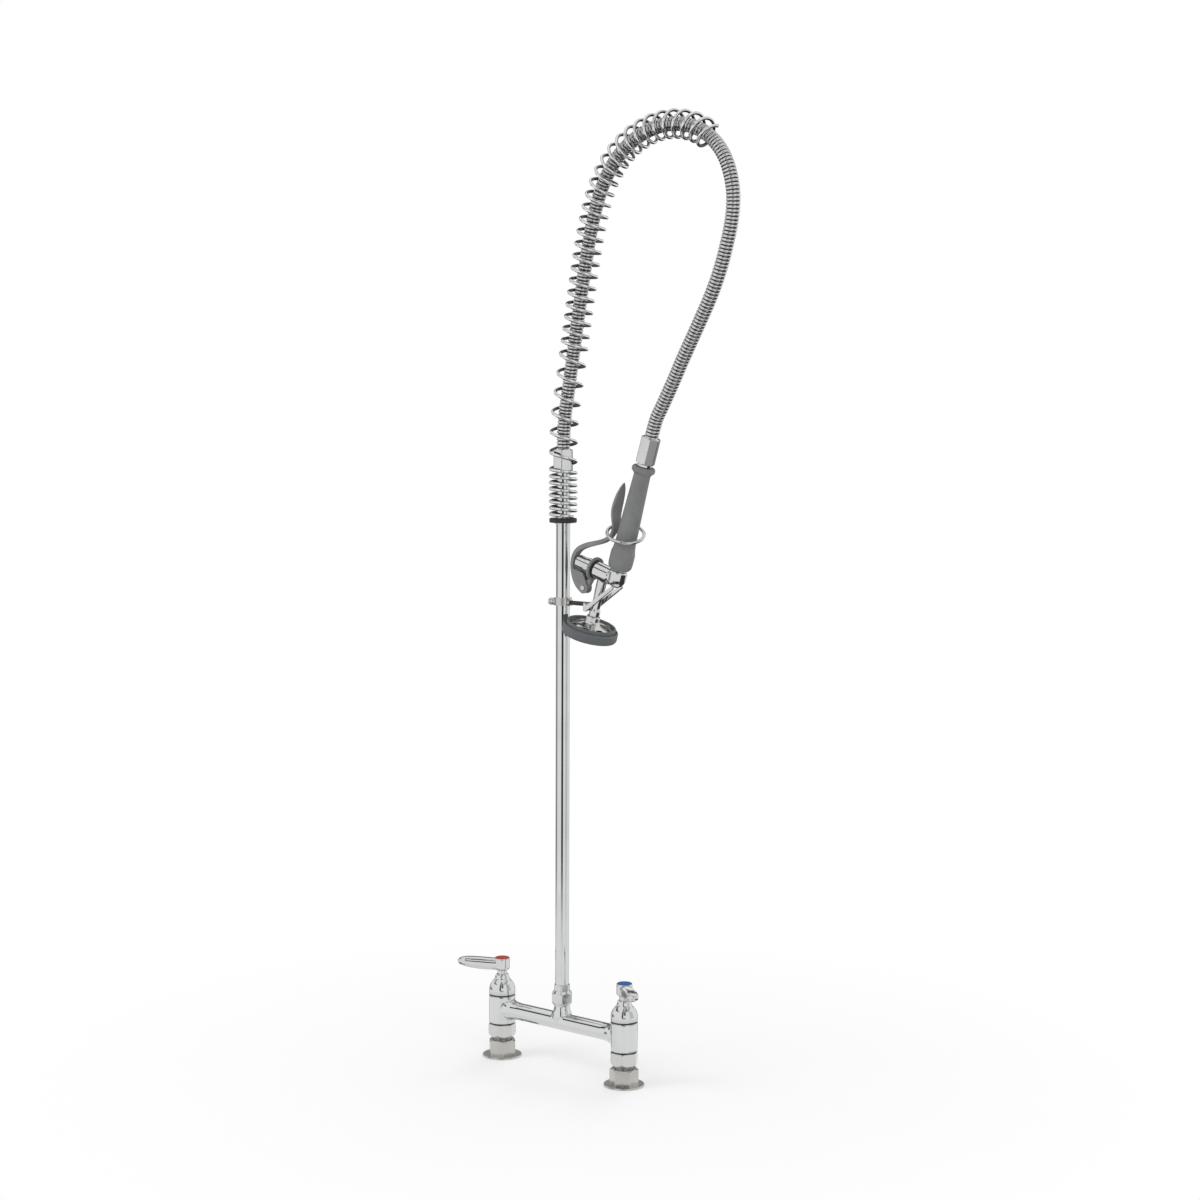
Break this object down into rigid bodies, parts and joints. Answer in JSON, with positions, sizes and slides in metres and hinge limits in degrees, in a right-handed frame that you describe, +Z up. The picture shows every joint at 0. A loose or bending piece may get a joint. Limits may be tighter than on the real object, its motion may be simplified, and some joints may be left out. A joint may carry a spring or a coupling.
{
  "type": "pre-rinse faucet",
  "caption": "Deck-mounted bridge faucet with lever handles, a tall swivelling riser, an overhead spring and hose, and a squeeze-lever spray valve on a hook.",
  "frame": {"origin": "on the deck, midway between the two inlets", "axes": "+X from the hot inlet to the cold inlet, +Y away from the user towards the wall, +Z up"},
  "size_m": [0.4166, 0.0734, 1.1811],
  "materials": {
    "chrome": "polished",
    "nickel": "satin nickel",
    "steel": "satin",
    "brass": "machined",
    "ceramic": "lapped ceramic",
    "grip_grey": "matt moulded grey",
    "lever_grey": "satin grey coating",
    "bumper_grey": "matt grey rubber",
    "black_rubber": "matt",
    "black_coating": "satin black coating",
    "index_red": "gloss",
    "index_blue": "gloss"
  },
  "bodies": {
    "base": {"faucet_body": "chrome", "hot_inlet_shank": "nickel", "cold_inlet_shank": "nickel", "coupling_nuts": "nickel", "inlet_washers": "black_rubber", "hot_cartridge": "brass", "hot_fixed_disc": "ceramic", "hot_bonnet": "chrome", "hot_stem_seal": "black_rubber", "cold_cartridge": "brass", "cold_fixed_disc": "ceramic", "cold_bonnet": "chrome", "cold_stem_seal": "black_rubber", "riser_coupling_nut": "chrome"},
    "hot_handle": {"hot_moving_disc": "ceramic", "hot_stem": "brass", "hot_lever_handle": "chrome", "hot_handle_screw": "steel", "hot_index_button": "index_red"},
    "cold_handle": {"cold_moving_disc": "ceramic", "cold_stem": "brass", "cold_lever_handle": "chrome", "cold_handle_screw": "steel", "cold_index_button": "index_blue"},
    "riser": {"riser_adaptor": "nickel", "swivel_o_ring": "black_rubber", "riser_pipe": "chrome", "spring_retaining_ring": "steel", "spring_washer": "black_rubber", "overhead_spring": "steel", "riser_hose_nut": "nickel", "riser_hose_gasket": "black_rubber", "hose_upper": "steel", "hose_lower": "steel", "hook_clamp": "nickel", "hook_rod": "black_coating", "hook_fork": "black_coating"},
    "clamp_screw": {"thumb_screw": "chrome"},
    "sprayer": {"grip_hose_nut": "chrome", "grip_gasket": "black_rubber", "grip_tube": "brass", "grip": "grip_grey", "valve_body": "chrome", "valve_seat": "brass", "valve_spring": "steel", "body_o_ring": "black_rubber", "lever_bracket": "lever_grey", "valve_bonnet": "chrome", "stem_packing": "black_rubber", "bonnet_cap": "chrome", "lever_pin": "steel", "spray_plate": "chrome", "spray_disc": "nickel", "face_screw": "chrome", "bumper": "bumper_grey"},
    "squeeze_lever_body": {"squeeze_lever": "lever_grey"},
    "plunger": {"valve_plunger": "steel", "seat_washer": "black_rubber"},
    "hold_ring": {"hold_down_ring": "steel"}
  },
  "joints": [
    {"name": "hot_handle_turn", "type": "hinge", "parent": "base", "child": "hot_handle", "pos_m": [-0.1016, 0, 0.1115], "axis": [0, 0, 1], "range_deg": [0, 90]},
    {"name": "cold_handle_turn", "type": "hinge", "parent": "base", "child": "cold_handle", "pos_m": [0.1016, 0, 0.1115], "axis": [0, 0, 1], "range_deg": [-90, 0]},
    {"name": "riser_swivel", "type": "hinge", "parent": "base", "child": "riser", "pos_m": [0, 0, 0.095], "axis": [0, 0, 1], "continuous": true},
    {"name": "thumb_screw_turn", "type": "hinge", "parent": "riser", "child": "clamp_screw", "pos_m": [-0.0139, 0, 0.591], "axis": [1, 0, 0], "range_deg": [0, 360]},
    {"name": "sprayer_unhook", "type": "slide", "parent": "riser", "child": "sprayer", "axis": [1, 0, 0], "range_m": [0, 0.11], "deforming": ["hose_lower"]},
    {"name": "lever_squeeze", "type": "hinge", "parent": "sprayer", "child": "squeeze_lever_body", "pos_m": [0.03626, 0, 0.611], "axis": [0, 1, 0], "range_deg": [0, 3.8], "stiffness_Nm_per_rad": 0.4, "springref_deg": -17.19},
    {"name": "plunger_push", "type": "slide", "parent": "sprayer", "child": "plunger", "axis": [0.9563, 0, -0.2924], "range_m": [0, 0.0019], "deforming": ["valve_spring"]},
    {"name": "hold_ring_slide", "type": "slide", "parent": "sprayer", "child": "hold_ring", "axis": [-0.05, 0, 0.9987], "range_m": [0, 0.01]}
  ],
  "couplings": [
    {"joint": "plunger_push", "follows": "lever_squeeze", "m_per_rad": 0.0276}
  ]
}
